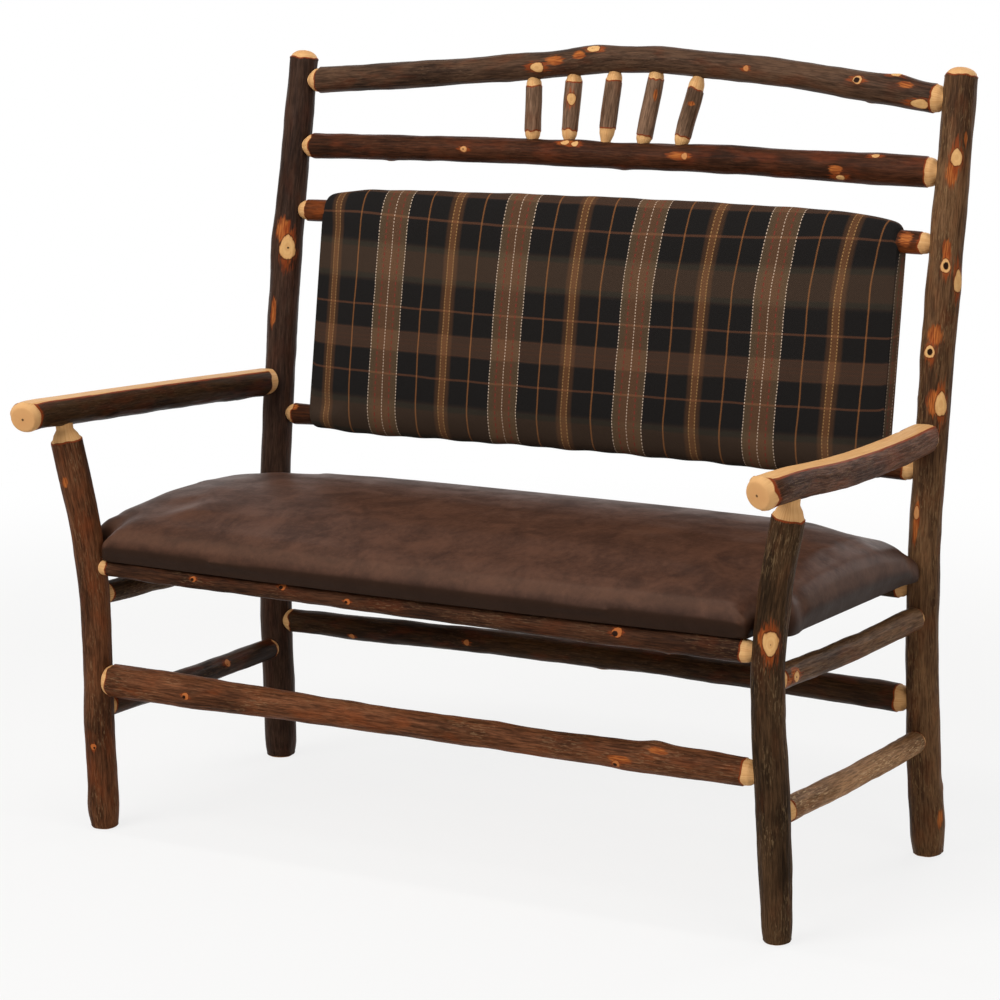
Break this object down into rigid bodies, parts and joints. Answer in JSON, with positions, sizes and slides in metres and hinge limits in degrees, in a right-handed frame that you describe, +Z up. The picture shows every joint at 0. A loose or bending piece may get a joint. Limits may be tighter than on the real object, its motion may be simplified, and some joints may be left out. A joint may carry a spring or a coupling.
{
  "type": "log settee",
  "caption": "Rustic settee of bark-on hickory poles with fanned spindles, a plaid padded back and a brown padded seat.",
  "frame": {"origin": "middle of the footprint, on the floor", "axes": "+X to the right as seen from the front, +Y to the back, +Z up"},
  "size_m": [1.201, 0.7088, 1.1299],
  "materials": {
    "hickory_bark": "satin",
    "plaid_cloth": "matte",
    "seat_hide": "satin",
    "padding": "matte",
    "plywood": "matte",
    "zinc_steel": "satin"
  },
  "bodies": {
    "root": {"back_post_left": "hickory_bark", "back_post_right": "hickory_bark", "front_leg_left": "hickory_bark", "front_leg_right": "hickory_bark", "arm_left": "hickory_bark", "arm_right": "hickory_bark", "crest_rail": "hickory_bark", "spindle_rail": "hickory_bark", "spindle_1": "hickory_bark", "spindle_2": "hickory_bark", "spindle_3": "hickory_bark", "spindle_4": "hickory_bark", "spindle_5": "hickory_bark", "pad_rail_upper": "hickory_bark", "pad_rail_lower": "hickory_bark", "seat_rail_front": "hickory_bark", "seat_rail_rear": "hickory_bark", "side_rail_left": "hickory_bark", "side_rail_right": "hickory_bark", "side_stretcher_left": "hickory_bark", "side_stretcher_right": "hickory_bark", "stretcher_front": "hickory_bark", "stretcher_rear": "hickory_bark", "back_board": "plywood", "back_padding_front": "padding", "back_padding_rear": "padding", "back_cover": "plaid_cloth", "seat_board": "plywood", "seat_padding": "padding", "seat_cover": "seat_hide", "seat_screw_front_left": "zinc_steel", "seat_screw_front_middle": "zinc_steel", "seat_screw_front_right": "zinc_steel", "seat_screw_rear_left": "zinc_steel", "seat_screw_rear_middle": "zinc_steel", "seat_screw_rear_right": "zinc_steel"}
  },
  "joints": []
}
